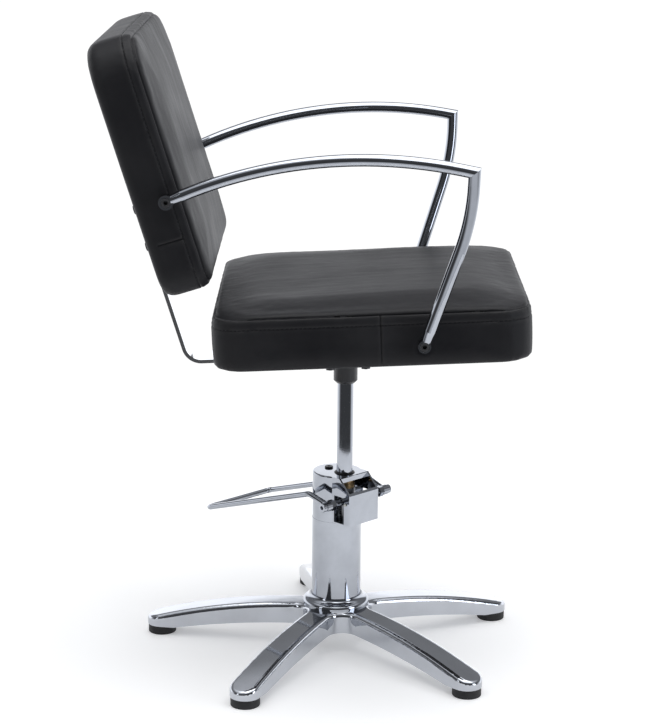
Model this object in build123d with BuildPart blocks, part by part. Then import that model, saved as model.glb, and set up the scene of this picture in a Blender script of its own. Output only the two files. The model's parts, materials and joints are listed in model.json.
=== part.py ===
from build123d import *
from math import cos, hypot, radians, sin, tan
import os

# Styling chair with a hydraulic pump on a five-arm star base. Millimetres.
# +Z is up and the floor is z = 0. The origin is on the pump column's axis.
# The sitter faces -Y, and the sitter's right hand is on the -X side.

os.makedirs("parts", exist_ok=True)


def finish(builder, name):
    """Labels a finished piece and writes its STEP file."""
    builder.part.label = name
    export_step(builder.part, f"parts/{name}.step")


def facing(builder, direction):
    """The flat face of a piece that looks most nearly in a direction."""
    flat = builder.faces().filter_by(GeomType.PLANE)
    return flat.sort_by(lambda face: face.normal_at().dot(direction))[-1]


# ---------------------------------------------------------------- driving dimensions

# star base
FOOT_CIRCLE_R = 280.0
ARM_COUNT = 5
FIRST_ARM_DEG = 80.0
ARM_ROOT_HALF = 20.0
ARM_TIP_R = 23.0
ARM_TOP_Z = 70.0
TIP_R = FOOT_CIRCLE_R + ARM_TIP_R + 1
TIP_TOP_Z = 26.0
FOOT_PAD_FROM = 258.0
ARM_UNDER_Z = 37.0
HUB_POCKET_R = 30.0
HUB_POCKET_TOP = 44.0
HUB_DEPTH = 34.0
BASE_BOLT_R = 20.0
BASE_BOLT_DEG = 45.0
BASE_BOLT_COUNT = 4
ARM_FORK_FILLET = 26.0
ARM_EDGE_ROUND = 7.0
HUB_R = 51.5
HUB_TOP_Z = 70.0
FOOT_R = 21.8
FOOT_H = 14.0
STUD_R = 4.0
STUD_LENGTH = 14.0
STUD_FLANGE_R = 9.0
STUD_FLANGE_Z = 4.0
STUD_Z = 7.0

# pump column
TUBE_R = 38.1
TUBE_WALL = 2.5
TUBE_BOTTOM_Z = 56.0
HEAD_BOTTOM_Z = 210.5
HEAD_TOP_Z = 284.0
CAP_R = 37.8

# pump box, measured along the box direction from the column axis
BOX_DEG = 225.0
BOX_FRONT = 58.5
BOX_HALF = 31.5
BOX_WALL = 3.0
BOX_FLOOR_Z = 212.5
BOX_LIP = 36.0
BOX_LIP_DROP = 23.5
ROD_OFFSET = 16.0
ROD_R = 12.2
RUN_CLEARANCE = 0.05

# pump lever
PIVOT_N = 50.0
PIVOT_Z = 246.0
PIVOT_R = 2.5
SHAFT_N = 40.2
SHAFT_Z = 247.8
SHAFT_R = 5.0
SHAFT_HALF = 66.0
SLOT_FROM = 25.5
SLOT_TO = 46.5
PEDAL_ROD_R = 4.5
PEDAL_HALF = 64.0
PEDAL_TOE_HALF = 68.0
PEDAL_KNEE_N = 3.0
PEDAL_KNEE_Z = 260.0
PEDAL_TOE_N = -224.0
PEDAL_TOE_Z = 186.0

# seat
SEAT_TILT = 2.8
SEAT_Y = -49.0
SEAT_Z = 510.1
SEAT_WIDTH = 470.0
SEAT_DEPTH = 456.0
SEAT_THICK = 88.0
SEAT_CORNER_R = 55.0
SEAT_TOP_ROUND = 20.0
SEAT_BOTTOM_ROUND = 14.0
BOARD_T = 15.0
COVER_T = 1.0
RAIL_W = 30.0
SEAT_RAIL_H = 30.0

# back
BACK_LEAN = 17.56
BACK_Y = 306.7
BACK_Z = 787.8
BACK_TOP = 172.0
BACK_BOTTOM = -201.0
BACK_HEIGHT = BACK_TOP - BACK_BOTTOM
BACK_MIDDLE = (BACK_TOP + BACK_BOTTOM) / 2
BACK_THICK = 77.6
BACK_UPPER_R = 72.0
BACK_LOWER_R = 34.0
BACK_REAR_ROUND = 28.0
BACK_FRONT_ROUND = 17.0
BACK_RAIL_D = 43.0

# bracket between seat and back
STRAP_W = 60.0
STRAP_T = 5.5
STRAP_BEND_R = 27.0
BACK_STANDOFF = 17.8
SEAT_STANDOFF = 25.7
PLATE_T = 5.0

# armrests
ARM_CORNER_HALF = 295.0
ARM_CORNER_Y = -180.8
ARM_CORNER_Z = 796.6
ARM_TUBE_R = 8.6
RAIL_SPLAY = 0.1207
RAIL_END = (420.5, -53.0)
RAIL_START_DEG = 9.9
RAIL_END_DEG = -23.9
RAIL_BEND_R = 670.0
POST_SPLAY = 0.1914
POST_END = (61.0, -252.7)
POST_START_DEG = -88.8
POST_END_DEG = -72.6
POST_BEND_R = 350.0
ARM_TAPER = 24.0
ARM_END_R = 6.2
ARM_SHOULDER = 0.15
REAR_BOSS_R = 10.5
SEAT_BOSS_R = 9.0
WASHER_T = 1.5

# fasteners
M8_R = 4.0
M8_HEAD_R = 6.5
M8_HEAD_H = 5.0
M8_SOCKET_R = 3.0
SPACER_R = 9.0
BUTTON_HEAD_R = 7.0
BUTTON_HEAD_H = 4.5
THROUGH = 40.0
HEX_ACROSS = 13.0
HEX_H = 5.5

# ---------------------------------------------------------------- shared frames

box_x = cos(radians(BOX_DEG))
box_y = sin(radians(BOX_DEG))
PUMP = Plane(origin=(0, 0, 0), x_dir=(box_x, box_y, 0), z_dir=(0, 0, 1))
PUMP_SIDE = Plane(origin=(0, 0, 0), x_dir=(box_x, box_y, 0), z_dir=(box_y, -box_x, 0))


def pump_point(out, side, height):
    """World point at a distance out along the box and to one side of it."""
    return (box_x * out + box_y * side, box_y * out - box_x * side, height)


def pump_cross(side):
    """Plane across the cross shaft, at a distance to one side of the box."""
    return Plane(origin=pump_point(0, side, 0), x_dir=(box_x, box_y, 0), z_dir=(box_y, -box_x, 0))


ROD_AT = pump_point(ROD_OFFSET, 0, 0)
SEAT_X = ROD_AT[0]
SIDE_X = SEAT_WIDTH / 2

tilt = radians(SEAT_TILT)
lean = radians(BACK_LEAN)
SEAT = Plane(origin=(SEAT_X, SEAT_Y, SEAT_Z), x_dir=(1, 0, 0), z_dir=(0, sin(tilt), cos(tilt)))
BACK = Plane(origin=(SEAT_X, BACK_Y, BACK_Z), x_dir=(1, 0, 0), z_dir=(0, -cos(lean), sin(lean)))
MIDDLE = Plane(origin=(SEAT_X, 0, 0), x_dir=(0, 1, 0), z_dir=(1, 0, 0))

# ---------------------------------------------------------------- star base


def arm_plan():
    """Plan outline of one arm along +X, from the column axis to its round tip."""
    with BuildSketch(mode=Mode.PRIVATE) as plan:
        with BuildLine():
            Line((0, ARM_ROOT_HALF), (FOOT_CIRCLE_R, ARM_TIP_R))
            ThreePointArc(
                (FOOT_CIRCLE_R, ARM_TIP_R), (FOOT_CIRCLE_R + ARM_TIP_R, 0), (FOOT_CIRCLE_R, -ARM_TIP_R)
            )
            Line((FOOT_CIRCLE_R, -ARM_TIP_R), (0, -ARM_ROOT_HALF))
            Line((0, -ARM_ROOT_HALF), (0, ARM_ROOT_HALF))
        make_face()
    return plan.sketch


one_arm = arm_plan()
arm_angles = [FIRST_ARM_DEG + 360 / ARM_COUNT * k for k in range(ARM_COUNT)]

with BuildPart() as base_star:
    with BuildSketch() as star_plan:
        for angle in arm_angles:
            add(one_arm.rotate(Axis.Z, angle))
        Circle(HUB_R * 0.55)
        forks = star_plan.vertices().filter_by(lambda v: hypot(v.X, v.Y) < HUB_R)
        fillet(forks, ARM_FORK_FILLET)
    extrude(amount=HUB_TOP_Z + 10)
    with BuildSketch(Plane.XZ) as star_side:
        with BuildLine():
            Line((0, ARM_TOP_Z), (40, ARM_TOP_Z))
            ThreePointArc((40, ARM_TOP_Z), (170, 58), (TIP_R, TIP_TOP_Z))
            Line((TIP_R, TIP_TOP_Z), (TIP_R, FOOT_H))
            Line((TIP_R, FOOT_H), (FOOT_PAD_FROM, FOOT_H))
            ThreePointArc((FOOT_PAD_FROM, FOOT_H), (160, 29), (50, ARM_UNDER_Z))
            Line((50, ARM_UNDER_Z), (0, ARM_UNDER_Z))
            Line((0, ARM_UNDER_Z), (0, ARM_TOP_Z))
        make_face()
    revolve(axis=Axis.Z, mode=Mode.INTERSECT)
    top_faces = base_star.faces().filter_by(lambda f: f.normal_at(f.center()).Z > 0.5)
    fillet(top_faces.edges().filter_by(lambda e: hypot(e.center().X, e.center().Y) > 45), ARM_EDGE_ROUND)
    with BuildSketch(Plane.XY.offset(HUB_TOP_Z - HUB_DEPTH)):
        Circle(HUB_R)
    extrude(amount=HUB_DEPTH)
    with BuildSketch(Plane.XY.offset(TUBE_BOTTOM_Z)):
        Circle(TUBE_R)
    extrude(amount=40, mode=Mode.SUBTRACT)
    with BuildSketch(Plane.XY.offset(HUB_POCKET_TOP - 14)):
        Circle(HUB_POCKET_R)
    extrude(amount=14, mode=Mode.SUBTRACT)
    with BuildSketch(Plane.XY.offset(40)):
        with PolarLocations(BASE_BOLT_R, BASE_BOLT_COUNT, start_angle=BASE_BOLT_DEG):
            Circle(M8_R)
    extrude(amount=30, mode=Mode.SUBTRACT)
    with BuildSketch(Plane.XY.offset(FOOT_H)):
        with PolarLocations(FOOT_CIRCLE_R, ARM_COUNT, start_angle=FIRST_ARM_DEG):
            Circle(STUD_R)
    extrude(amount=STUD_LENGTH, mode=Mode.SUBTRACT)
finish(base_star, "base_star")

# ---------------------------------------------------------------- feet

for index, angle in enumerate(arm_angles, start=1):
    foot_plane = Plane(
        origin=(FOOT_CIRCLE_R * cos(radians(angle)), FOOT_CIRCLE_R * sin(radians(angle)), 0),
        x_dir=(1, 0, 0),
        z_dir=(0, 0, 1),
    )
    with BuildPart() as foot:
        with BuildSketch(foot_plane):
            Circle(FOOT_R)
        extrude(amount=FOOT_H)
        fillet(foot.edges().group_by(Axis.Z)[0], 1.5)
        with BuildSketch(foot_plane.offset(STUD_FLANGE_Z)):
            Circle(STUD_FLANGE_R)
        extrude(amount=STUD_Z - STUD_FLANGE_Z, mode=Mode.SUBTRACT)
        with BuildSketch(foot_plane.offset(STUD_Z)):
            Circle(STUD_R)
        extrude(amount=FOOT_H - STUD_Z, mode=Mode.SUBTRACT)
    finish(foot, f"foot_{index}")

with BuildPart() as foot_studs:
    with BuildSketch(Plane.XY.offset(STUD_FLANGE_Z)):
        with PolarLocations(FOOT_CIRCLE_R, ARM_COUNT, start_angle=FIRST_ARM_DEG):
            Circle(STUD_FLANGE_R)
    extrude(amount=STUD_Z - STUD_FLANGE_Z)
    with BuildSketch(Plane.XY.offset(STUD_Z)):
        with PolarLocations(FOOT_CIRCLE_R, ARM_COUNT, start_angle=FIRST_ARM_DEG):
            Circle(STUD_R)
    extrude(amount=FOOT_H - STUD_Z + STUD_LENGTH)
finish(foot_studs, "foot_studs")

# ---------------------------------------------------------------- pump column

with BuildPart() as column_collar:
    with BuildSketch(Plane.XZ):
        with BuildLine():
            Line((TUBE_R, HUB_TOP_Z), (HUB_R, HUB_TOP_Z))
            Line((HUB_R, HUB_TOP_Z), (HUB_R, HUB_TOP_Z + 4))
            ThreePointArc((HUB_R, HUB_TOP_Z + 4), (HUB_R - 2, HUB_TOP_Z + 8), (HUB_R - 5, HUB_TOP_Z + 9.5))
            ThreePointArc(
                (HUB_R - 5, HUB_TOP_Z + 9.5), (HUB_R - 8.5, HUB_TOP_Z + 11.5), (TUBE_R + 2, HUB_TOP_Z + 16)
            )
            Line((TUBE_R + 2, HUB_TOP_Z + 16), (TUBE_R, HUB_TOP_Z + 16))
            Line((TUBE_R, HUB_TOP_Z + 16), (TUBE_R, HUB_TOP_Z))
        make_face()
    revolve(axis=Axis.Z)
finish(column_collar, "column_collar")

with BuildPart() as column_tube:
    with BuildSketch(Plane.XY.offset(TUBE_BOTTOM_Z)):
        Circle(TUBE_R)
        Circle(TUBE_R - TUBE_WALL, mode=Mode.SUBTRACT)
    extrude(amount=HEAD_BOTTOM_Z - TUBE_BOTTOM_Z)
finish(column_tube, "column_tube")

PLUG_H = 12.0
PLUG_R = TUBE_R - TUBE_WALL
with BuildPart() as column_plug:
    with BuildSketch(Plane.XY.offset(TUBE_BOTTOM_Z)):
        Circle(PLUG_R)
        with PolarLocations(BASE_BOLT_R, BASE_BOLT_COUNT, start_angle=BASE_BOLT_DEG):
            Circle(M8_R, mode=Mode.SUBTRACT)
    extrude(amount=PLUG_H)
finish(column_plug, "column_plug")

with BuildPart() as base_bolts:
    with BuildSketch(Plane.XY.offset(HUB_POCKET_TOP - HEX_H)):
        with PolarLocations(BASE_BOLT_R, BASE_BOLT_COUNT, start_angle=BASE_BOLT_DEG):
            RegularPolygon(HEX_ACROSS / 2, 6, major_radius=False)
    extrude(amount=HEX_H)
    with BuildSketch(Plane.XY.offset(HUB_POCKET_TOP)):
        with PolarLocations(BASE_BOLT_R, BASE_BOLT_COUNT, start_angle=BASE_BOLT_DEG):
            Circle(M8_R)
    extrude(amount=TUBE_BOTTOM_Z + PLUG_H - 2 - HUB_POCKET_TOP)
finish(base_bolts, "base_bolts")

CYLINDER_R = 16.8
CYLINDER_BORE = 14.5
CYLINDER_BOTTOM = TUBE_BOTTOM_Z + PLUG_H
CYLINDER_TOP = 262.0
GLAND_TOP = HEAD_TOP_Z - 5
with BuildPart() as pressure_cylinder:
    with BuildSketch(PUMP.offset(CYLINDER_BOTTOM)):
        with Locations((ROD_OFFSET, 0)):
            Circle(CYLINDER_R)
    extrude(amount=CYLINDER_TOP - CYLINDER_BOTTOM)
    with BuildSketch(PUMP.offset(CYLINDER_BOTTOM + 5)):
        with Locations((ROD_OFFSET, 0)):
            Circle(CYLINDER_BORE)
    extrude(amount=CYLINDER_TOP - CYLINDER_BOTTOM, mode=Mode.SUBTRACT)
finish(pressure_cylinder, "pressure_cylinder")

BARREL_N = 42.5
BARREL_R = 5.5
BARREL_TOP = 232.0
OIL_PLUG_N = -18.0
OIL_PLUG_R = 4.0
OIL_PLUG_DEPTH = 6.0
with BuildPart() as pump_head:
    with BuildSketch(PUMP.offset(HEAD_BOTTOM_Z)):
        Circle(CAP_R)
    extrude(amount=HEAD_TOP_Z - HEAD_BOTTOM_Z)
    fillet(pump_head.edges().group_by(Axis.Z)[-1], 2)
    with BuildSketch(PUMP_SIDE):
        with BuildLine():
            Polyline(
                (0, BOX_FLOOR_Z),
                (BOX_FRONT, BOX_FLOOR_Z),
                (BOX_FRONT, HEAD_TOP_Z - BOX_LIP_DROP),
                (BOX_LIP, HEAD_TOP_Z),
                (0, HEAD_TOP_Z),
                close=True,
            )
        make_face()
    extrude(amount=BOX_HALF, both=True)
    box_front = pump_head.edges().filter_by(Axis.Z).filter_by(
        lambda e: hypot(e.center().X, e.center().Y) > BOX_FRONT
    )
    fillet(box_front, 1.2)
    with BuildSketch(PUMP.offset(BOX_FLOOR_Z + 4)):
        with Locations(((BOX_LIP + BOX_FRONT - BOX_WALL) / 2 + 0.5, 0)):
            Rectangle(BOX_FRONT - BOX_WALL - BOX_LIP - 1, 2 * (BOX_HALF - BOX_WALL))
    extrude(amount=HEAD_TOP_Z, mode=Mode.SUBTRACT)
    with BuildSketch(PUMP.offset(BOX_FLOOR_Z + 4)):
        with Locations((33, 0)):
            Rectangle(16, 2 * (BOX_HALF - BOX_WALL))
    extrude(amount=HEAD_TOP_Z - 8 - BOX_FLOOR_Z - 4, mode=Mode.SUBTRACT)
    with BuildSketch(PUMP.offset(HEAD_BOTTOM_Z)):
        with Locations((ROD_OFFSET, 0)):
            Circle(CYLINDER_R)
    extrude(amount=CYLINDER_TOP - HEAD_BOTTOM_Z, mode=Mode.SUBTRACT)
    with BuildSketch(PUMP.offset(CYLINDER_TOP)):
        with Locations((ROD_OFFSET, 0)):
            Circle(CYLINDER_R - 1)
    extrude(amount=HEAD_TOP_Z - CYLINDER_TOP, mode=Mode.SUBTRACT)
    with BuildSketch(PUMP_SIDE):
        with Locations(((SLOT_FROM + SLOT_TO) / 2, (BOX_FLOOR_Z + 1 + SHAFT_Z + 8) / 2)):
            Rectangle(SLOT_TO - SLOT_FROM, SHAFT_Z + 8 - BOX_FLOOR_Z - 1)
    extrude(amount=BOX_HALF + 1, both=True, mode=Mode.SUBTRACT)
    with BuildSketch(PUMP_SIDE):
        with Locations((PIVOT_N, PIVOT_Z)):
            Circle(PIVOT_R)
    extrude(amount=BOX_HALF + 1, both=True, mode=Mode.SUBTRACT)
    with BuildSketch(PUMP.offset(HEAD_TOP_Z - OIL_PLUG_DEPTH)):
        with Locations((OIL_PLUG_N, 0)):
            Circle(OIL_PLUG_R)
    extrude(amount=OIL_PLUG_DEPTH + 1, mode=Mode.SUBTRACT)
    with BuildSketch(PUMP.offset(BOX_FLOOR_Z - 1)):
        with Locations((BARREL_N, 0)):
            Circle(BARREL_R)
    extrude(amount=6, mode=Mode.SUBTRACT)
finish(pump_head, "pump_head")

with BuildPart() as oil_plug:
    with BuildSketch(PUMP.offset(HEAD_TOP_Z - OIL_PLUG_DEPTH)):
        with Locations((OIL_PLUG_N, 0)):
            Circle(OIL_PLUG_R)
    extrude(amount=OIL_PLUG_DEPTH)
    with BuildSketch(PUMP.offset(HEAD_TOP_Z)):
        with Locations((OIL_PLUG_N, 0)):
            Circle(6.5)
    extrude(amount=2.5)
    fillet(oil_plug.edges().group_by(Axis.Z)[-1], 0.8)
    with BuildSketch(PUMP.offset(HEAD_TOP_Z + 0.5)):
        with Locations((OIL_PLUG_N, 0)):
            RegularPolygon(2.5, 6, major_radius=False)
    extrude(amount=3, mode=Mode.SUBTRACT)
finish(oil_plug, "oil_plug")

with BuildPart() as rod_gland:
    with BuildSketch(PUMP.offset(CYLINDER_TOP)):
        with Locations((ROD_OFFSET, 0)):
            Circle(CYLINDER_R - 1)
            Circle(ROD_R + RUN_CLEARANCE, mode=Mode.SUBTRACT)
    extrude(amount=GLAND_TOP - CYLINDER_TOP)
finish(rod_gland, "rod_gland")

with BuildPart() as rod_wiper:
    with BuildSketch(PUMP.offset(GLAND_TOP)):
        with Locations((ROD_OFFSET, 0)):
            Circle(CYLINDER_R - 1)
            Circle(ROD_R + 0.4, mode=Mode.SUBTRACT)
    extrude(amount=HEAD_TOP_Z - GLAND_TOP + 2)
    chamfer(rod_wiper.edges().group_by(Axis.Z)[-1].sort_by(SortBy.LENGTH)[-1], 1.5)
finish(rod_wiper, "rod_wiper")

# ---------------------------------------------------------------- pump lever and plunger

PLUNGER_R = 3.5
PLUNGER_HEAD_R = 7.4
PLUNGER_HEAD_Z = 233.0
PLUNGER_TOP = 236.5
SPRING_R = 6.8
SPRING_WIRE_R = 0.7
SPRING_TURNS = 5
with BuildPart() as plunger_barrel:
    with BuildSketch(PUMP.offset(BOX_FLOOR_Z - 1)):
        with Locations((BARREL_N, 0)):
            Circle(BARREL_R)
    extrude(amount=BARREL_TOP - BOX_FLOOR_Z - 3)
    with BuildSketch(PUMP.offset(BOX_FLOOR_Z + 1)):
        with Locations((BARREL_N, 0)):
            Circle(PLUNGER_R + RUN_CLEARANCE)
    extrude(amount=30, mode=Mode.SUBTRACT)
finish(plunger_barrel, "plunger_barrel")

with BuildPart() as pump_plunger:
    with BuildSketch(PUMP.offset(BOX_FLOOR_Z + 6)):
        with Locations((BARREL_N, 0)):
            Circle(PLUNGER_R)
    extrude(amount=PLUNGER_HEAD_Z - BOX_FLOOR_Z - 6)
    with BuildSketch(PUMP.offset(PLUNGER_HEAD_Z)):
        with Locations((BARREL_N, 0)):
            Circle(PLUNGER_HEAD_R)
    extrude(amount=PLUNGER_TOP - PLUNGER_HEAD_Z)
finish(pump_plunger, "pump_plunger")

SPRING_FLOOR = BOX_FLOOR_Z + 4
SPRING_RISE = PLUNGER_HEAD_Z - SPRING_FLOOR - 2 * SPRING_WIRE_R - 0.1
spring_foot = pump_point(BARREL_N, 0, SPRING_FLOOR + SPRING_WIRE_R + 0.05)
with BuildPart() as plunger_spring:
    with BuildLine():
        coil = Helix(SPRING_RISE / SPRING_TURNS, SPRING_RISE, SPRING_R, center=spring_foot)
    with BuildSketch(Plane(coil @ 0, z_dir=coil % 0)):
        Circle(SPRING_WIRE_R)
    sweep()
finish(plunger_spring, "plunger_spring")

with BuildPart() as pivot_pin:
    with BuildSketch(pump_cross(-BOX_HALF - 1.5)):
        with Locations((PIVOT_N, PIVOT_Z)):
            Circle(PIVOT_R)
    extrude(amount=2 * BOX_HALF + 3)
finish(pivot_pin, "pivot_pin")

ROCKER_HALF = 12.0
with BuildPart() as rocker:
    with BuildSketch(pump_cross(-ROCKER_HALF)):
        with Locations((PIVOT_N, PIVOT_Z)):
            Circle(4.8)
        with Locations((SHAFT_N, SHAFT_Z)):
            Circle(6.4)
        with Locations((BARREL_N, PLUNGER_TOP + 4.5)):
            Circle(4)
        make_hull()
    extrude(amount=2 * ROCKER_HALF)
    with BuildSketch(pump_cross(-ROCKER_HALF)):
        with Locations((PIVOT_N, PIVOT_Z)):
            Circle(PIVOT_R + RUN_CLEARANCE)
        with Locations((SHAFT_N, SHAFT_Z)):
            Circle(SHAFT_R)
    extrude(amount=2 * ROCKER_HALF, mode=Mode.SUBTRACT)
finish(rocker, "rocker")

SCREW_R = 3.0
SCREW_DEPTH = 14.0
with BuildPart() as cross_shaft:
    with BuildSketch(pump_cross(-SHAFT_HALF)):
        with Locations((SHAFT_N, SHAFT_Z)):
            Circle(SHAFT_R)
    extrude(amount=2 * SHAFT_HALF)
    for end in (-SHAFT_HALF, SHAFT_HALF - SCREW_DEPTH):
        with BuildSketch(pump_cross(end)):
            with Locations((SHAFT_N, SHAFT_Z)):
                Circle(SCREW_R)
        extrude(amount=SCREW_DEPTH, mode=Mode.SUBTRACT)
finish(cross_shaft, "cross_shaft")

EYE_R = 7.8
EYE_FROM = 56.0
NUT_H = 8.0
HEAD_R = 7.0
HEAD_H = 6.5
pedal_half_path = [
    (SHAFT_N - 4, PEDAL_HALF - 3, SHAFT_Z + 3),
    (PEDAL_KNEE_N, PEDAL_HALF - 1, PEDAL_KNEE_Z),
    (PEDAL_TOE_N, PEDAL_TOE_HALF, PEDAL_TOE_Z),
]
pedal_near = [pump_point(out, side, height) for out, side, height in pedal_half_path]
pedal_far = [pump_point(out, -side, height) for out, side, height in reversed(pedal_half_path)]
with BuildPart() as pedal_loop:
    with BuildLine():
        route = FilletPolyline(*pedal_near, *pedal_far, radius=[16, 9, 9, 16])
    with BuildSketch(Plane(route @ 0, z_dir=route % 0)):
        Circle(PEDAL_ROD_R)
    sweep()
    for start in (EYE_FROM, -SHAFT_HALF):
        with BuildSketch(pump_cross(start)):
            with Locations((SHAFT_N, SHAFT_Z)):
                Circle(EYE_R)
        extrude(amount=SHAFT_HALF - EYE_FROM)
    with BuildSketch(pump_cross(-SHAFT_HALF - 1)):
        with Locations((SHAFT_N, SHAFT_Z)):
            Circle(SHAFT_R)
    extrude(amount=2 * SHAFT_HALF + 2, mode=Mode.SUBTRACT)
finish(pedal_loop, "pedal_loop")

with BuildPart() as shaft_nuts:
    for start in (EYE_FROM - NUT_H, -EYE_FROM):
        with BuildSketch(pump_cross(start)):
            with Locations((SHAFT_N, SHAFT_Z)):
                RegularPolygon(7.5, 6, major_radius=False)
                Circle(SHAFT_R, mode=Mode.SUBTRACT)
        extrude(amount=NUT_H)
finish(shaft_nuts, "shaft_nuts")

with BuildPart() as shaft_screws:
    for start, shank in ((SHAFT_HALF, SHAFT_HALF - SCREW_DEPTH + 2), (-SHAFT_HALF - HEAD_H, -SHAFT_HALF)):
        with BuildSketch(pump_cross(start)):
            with Locations((SHAFT_N, SHAFT_Z)):
                Circle(HEAD_R)
        extrude(amount=HEAD_H)
        with BuildSketch(pump_cross(shank)):
            with Locations((SHAFT_N, SHAFT_Z)):
                Circle(SCREW_R)
        extrude(amount=SCREW_DEPTH - 2)
    fillet(shaft_screws.edges().filter_by(GeomType.CIRCLE).filter_by(lambda e: e.radius > 6), 0.8)
    for start in (SHAFT_HALF + HEAD_H - 4, -SHAFT_HALF - HEAD_H):
        with BuildSketch(pump_cross(start)):
            with Locations((SHAFT_N, SHAFT_Z)):
                RegularPolygon(3, 6, major_radius=False)
        extrude(amount=4, mode=Mode.SUBTRACT)
finish(shaft_screws, "shaft_screws")

# ---------------------------------------------------------------- piston and rod

ROD_BOTTOM = 214.0
ROD_TOP = 470.0
PISTON_BOTTOM = 204.0
PISTON_TOP = 226.0
PISTON_R = CYLINDER_BORE - RUN_CLEARANCE
with BuildPart() as piston:
    with BuildSketch(PUMP.offset(PISTON_BOTTOM)):
        with Locations((ROD_OFFSET, 0)):
            Circle(PISTON_R)
    extrude(amount=PISTON_TOP - PISTON_BOTTOM)
    with BuildSketch(PUMP.offset(ROD_BOTTOM - 3)):
        with Locations((ROD_OFFSET, 0)):
            Circle(ROD_R + RUN_CLEARANCE)
    extrude(amount=PISTON_TOP, mode=Mode.SUBTRACT)
    with BuildSketch(PUMP.offset(PISTON_BOTTOM + 2)):
        with Locations((ROD_OFFSET, 0)):
            Circle(PISTON_R)
            Circle(PISTON_R - 2, mode=Mode.SUBTRACT)
    extrude(amount=3, mode=Mode.SUBTRACT)
finish(piston, "piston")

with BuildPart() as piston_ring:
    with BuildSketch(PUMP.offset(PISTON_BOTTOM + 2)):
        with Locations((ROD_OFFSET, 0)):
            Circle(PISTON_R)
            Circle(PISTON_R - 2, mode=Mode.SUBTRACT)
    extrude(amount=3)
finish(piston_ring, "piston_ring")

with BuildPart() as thrust_disc:
    with BuildSketch(PUMP.offset(ROD_BOTTOM - 3)):
        with Locations((ROD_OFFSET, 0)):
            Circle(ROD_R)
    extrude(amount=3)
finish(thrust_disc, "thrust_disc")

with BuildPart() as piston_rod:
    with BuildSketch(PUMP.offset(ROD_BOTTOM)):
        with Locations((ROD_OFFSET, 0)):
            Circle(ROD_R)
    extrude(amount=ROD_TOP - ROD_BOTTOM)
    chamfer(piston_rod.edges().group_by(Axis.Z)[-1], 1)
finish(piston_rod, "piston_rod")

# ---------------------------------------------------------------- seat mount

HUB_BOTTOM = 427.0
SEAT_HUB_R = 18.2
PLATE_LOW = -SEAT_STANDOFF - PLATE_T
PLATE_X = 210.0
PLATE_CORNER_R = 16.0
PLATE_FROM = -22.0
PLATE_TO = 112.0
ROD_Y = (ROD_AT[1] - SEAT_Y) / cos(tilt) + PLATE_LOW * tan(tilt)
SEAT_BOLTS = [(x, ROD_Y + y) for x in (-90, 90) for y in (-26, 26)]
STRAP_BOLTS = [(x, y) for x in (-18, 18) for y in (70, 98)]
TNUT_R = 5.5
TNUT_FLANGE_R = 10.0
TNUT_FLANGE_T = 2.0
BOLT_WASHER_T = 1.6

with BuildPart() as seat_hub:
    with BuildSketch(PUMP.offset(HUB_BOTTOM)):
        with Locations((ROD_OFFSET, 0)):
            Circle(SEAT_HUB_R)
    extrude(amount=SEAT_Z - HUB_BOTTOM)
    chamfer(seat_hub.edges().group_by(Axis.Z)[0], 4)
    split(bisect_by=SEAT.offset(PLATE_LOW), keep=Keep.BOTTOM)
    with BuildSketch(PUMP.offset(HUB_BOTTOM - 1)):
        with Locations((ROD_OFFSET, 0)):
            Circle(ROD_R)
    extrude(amount=ROD_TOP - HUB_BOTTOM + 1, mode=Mode.SUBTRACT)
finish(seat_hub, "seat_hub")

with BuildPart() as seat_plate:
    with BuildSketch(SEAT.offset(PLATE_LOW)):
        with Locations((0, (PLATE_FROM + PLATE_TO) / 2)):
            RectangleRounded(PLATE_X, PLATE_TO - PLATE_FROM, PLATE_CORNER_R)
        with Locations(*SEAT_BOLTS, *STRAP_BOLTS):
            Circle(M8_R, mode=Mode.SUBTRACT)
    extrude(amount=PLATE_T)
finish(seat_plate, "seat_plate")

with BuildPart() as seat_spacers:
    with BuildSketch(SEAT.offset(-SEAT_STANDOFF)):
        with Locations(*SEAT_BOLTS):
            Circle(SPACER_R)
            Circle(M8_R, mode=Mode.SUBTRACT)
    extrude(amount=SEAT_STANDOFF)
finish(seat_spacers, "seat_spacers")

with BuildPart() as seat_washers:
    with BuildSketch(SEAT.offset(PLATE_LOW - BOLT_WASHER_T)):
        with Locations(*SEAT_BOLTS):
            Circle(8)
            Circle(M8_R, mode=Mode.SUBTRACT)
    extrude(amount=BOLT_WASHER_T)
finish(seat_washers, "seat_washers")

with BuildPart() as seat_bolts:
    with BuildSketch(SEAT.offset(PLATE_LOW - BOLT_WASHER_T - HEX_H)):
        with Locations(*SEAT_BOLTS):
            RegularPolygon(HEX_ACROSS / 2, 6, major_radius=False)
    extrude(amount=HEX_H)
    with BuildSketch(SEAT.offset(PLATE_LOW - BOLT_WASHER_T)):
        with Locations(*SEAT_BOLTS):
            Circle(M8_R)
    extrude(amount=-PLATE_LOW + BOLT_WASHER_T + COVER_T + BOARD_T + TNUT_FLANGE_T)
finish(seat_bolts, "seat_bolts")

with BuildPart() as seat_tnuts:
    with BuildSketch(SEAT.offset(COVER_T)):
        with Locations(*SEAT_BOLTS):
            Circle(TNUT_R)
    extrude(amount=BOARD_T)
    with BuildSketch(SEAT.offset(COVER_T + BOARD_T)):
        with Locations(*SEAT_BOLTS):
            Circle(TNUT_FLANGE_R)
    extrude(amount=TNUT_FLANGE_T)
    with BuildSketch(SEAT):
        with Locations(*SEAT_BOLTS):
            Circle(M8_R)
    extrude(amount=THROUGH, mode=Mode.SUBTRACT)
finish(seat_tnuts, "seat_tnuts")

# ---------------------------------------------------------------- bracket between seat and back


def side_view(point):
    """World Y and Z of a point, for sketches on the middle plane."""
    return (point.Y, point.Z)


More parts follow.
